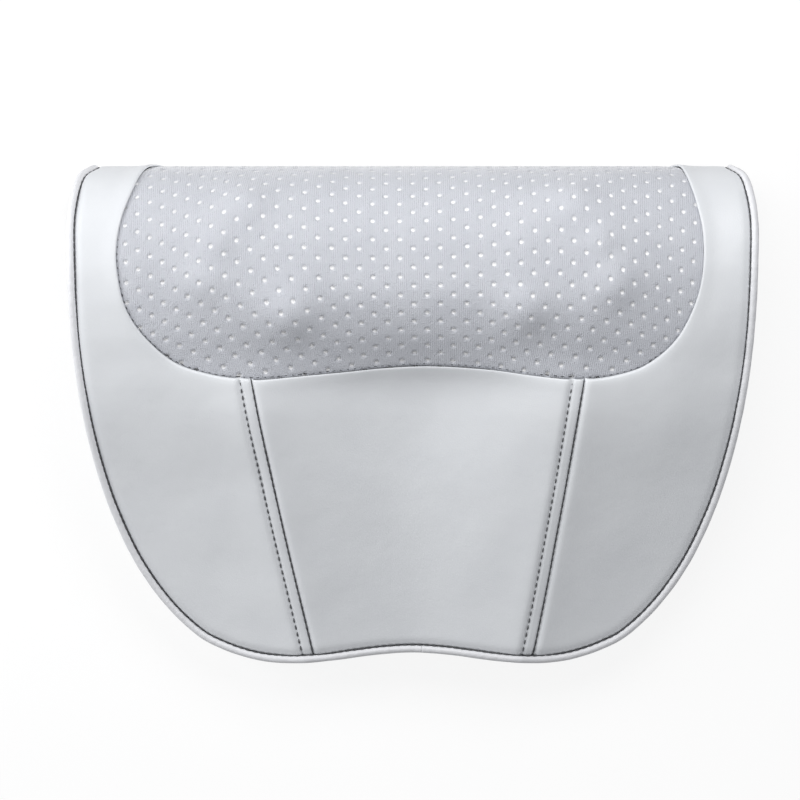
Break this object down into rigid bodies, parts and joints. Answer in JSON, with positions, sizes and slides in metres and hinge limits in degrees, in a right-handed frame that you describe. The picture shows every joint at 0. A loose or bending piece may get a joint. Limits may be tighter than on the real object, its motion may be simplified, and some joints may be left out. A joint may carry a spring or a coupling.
{
  "type": "shiatsu neck massager",
  "caption": "Neck massage pillow with a thick roll, a mesh window over turning kneading heads, a leather-look cover with piping and a flat back.",
  "frame": {"origin": "middle of the underside when the pillow lies on its flat back", "axes": "+X towards the right-hand end, +Y towards the thick roll, +Z out of the side that meets the neck"},
  "size_m": [0.381, 0.2742, 0.102],
  "materials": {
    "mesh_cloth": "fine ribbed mesh with rows of small oval holes",
    "lining": "white lining felt",
    "leather": "smooth pale artificial leather, satin",
    "piping": "smooth pale piping",
    "back_cloth": "close woven pale cloth",
    "zip_tape": "woven tape",
    "zip_teeth": "moulded coil",
    "zip_metal": "plated",
    "foam": "open foam",
    "black_plastic": "fine texture",
    "white_plastic": "smooth",
    "head_plastic": "polished",
    "button_plastic": "satin",
    "steel": "bright",
    "brass": "turned",
    "circuit_board": "lacquered",
    "lens": "clear red",
    "lead_sheath": "smooth"
  },
  "bodies": {
    "pillow": {"mesh_panel": "mesh_cloth", "mesh_liner": "lining", "cover_left": "leather", "cover_centre": "leather", "cover_right": "leather", "front_piping": "piping", "side_wall_left": "leather", "side_wall_right": "leather", "back_panel": "back_cloth", "zip_tape": "zip_tape", "zip_chain": "zip_teeth", "foam_lower": "foam", "foam_right": "foam", "foam_left": "foam", "foam_back": "foam", "mechanism_base": "black_plastic", "mechanism_cover": "black_plastic", "cover_screw_1": "steel", "cover_screw_2": "steel", "cover_screw_3": "steel", "cover_screw_4": "steel", "left_lower_bush": "brass", "left_upper_bush": "brass", "right_lower_bush": "brass", "right_upper_bush": "brass", "motor": "steel", "left_shaft_bearing": "white_plastic", "right_shaft_bearing": "white_plastic", "motor_strap": "steel", "heat_board": "circuit_board", "heat_lens_1": "lens", "heat_lens_2": "lens", "heat_lens_3": "lens", "control_board": "circuit_board", "control_plate": "black_plastic", "button_board": "circuit_board", "inlet_shell": "black_plastic", "inlet_pin": "steel", "inlet_lead": "lead_sheath"},
    "left_rotor": {"left_worm_wheel": "white_plastic", "left_rotor_shaft": "steel", "left_carrier": "white_plastic", "left_head_1": "head_plastic", "left_head_2": "head_plastic", "left_head_3": "head_plastic"},
    "right_rotor": {"right_worm_wheel": "white_plastic", "right_rotor_shaft": "steel", "right_carrier": "white_plastic", "right_head_1": "head_plastic", "right_head_2": "head_plastic", "right_head_3": "head_plastic"},
    "drive": {"drive_shaft": "steel", "left_worm": "brass", "right_worm": "brass"},
    "power_key": {"power_button": "button_plastic"},
    "heat_key": {"heat_button": "button_plastic"},
    "slider": {"zip_slider": "zip_metal"},
    "pull_tab": {"zip_pull": "zip_metal"}
  },
  "joints": [
    {"name": "left_rotor_spin", "type": "hinge", "parent": "pillow", "child": "left_rotor", "pos_m": [-0.0884, 0.086, 0.06], "axis": [0, 0, 1], "continuous": true},
    {"name": "right_rotor_spin", "type": "hinge", "parent": "pillow", "child": "right_rotor", "pos_m": [0.0884, 0.086, 0.06], "axis": [0, 0, 1], "continuous": true},
    {"name": "drive_spin", "type": "hinge", "parent": "pillow", "child": "drive", "pos_m": [0, 0.057, 0.031], "axis": [1, 0, 0], "continuous": true},
    {"name": "power_press", "type": "slide", "parent": "pillow", "child": "power_key", "axis": [-0.9472, 0.3206, 0], "range_m": [0, 0.0012], "stiffness_N_per_m": 250, "springref_m": -0.0004},
    {"name": "heat_press", "type": "slide", "parent": "pillow", "child": "heat_key", "axis": [-0.9472, 0.3206, 0], "range_m": [0, 0.0012], "stiffness_N_per_m": 250, "springref_m": -0.0004},
    {"name": "zip_slide", "type": "slide", "parent": "pillow", "child": "slider", "axis": [1, 0, 0], "range_m": [-0.288, 0]},
    {"name": "pull_swing", "type": "hinge", "parent": "slider", "child": "pull_tab", "pos_m": [0.144, 0.12689, 0.0085], "axis": [0, -0.736, -0.677], "range_deg": [0, 150]}
  ],
  "couplings": [
    {"joint": "right_rotor_spin", "follows": "left_rotor_spin", "ratio": -1},
    {"joint": "drive_spin", "follows": "left_rotor_spin", "ratio": 24}
  ]
}
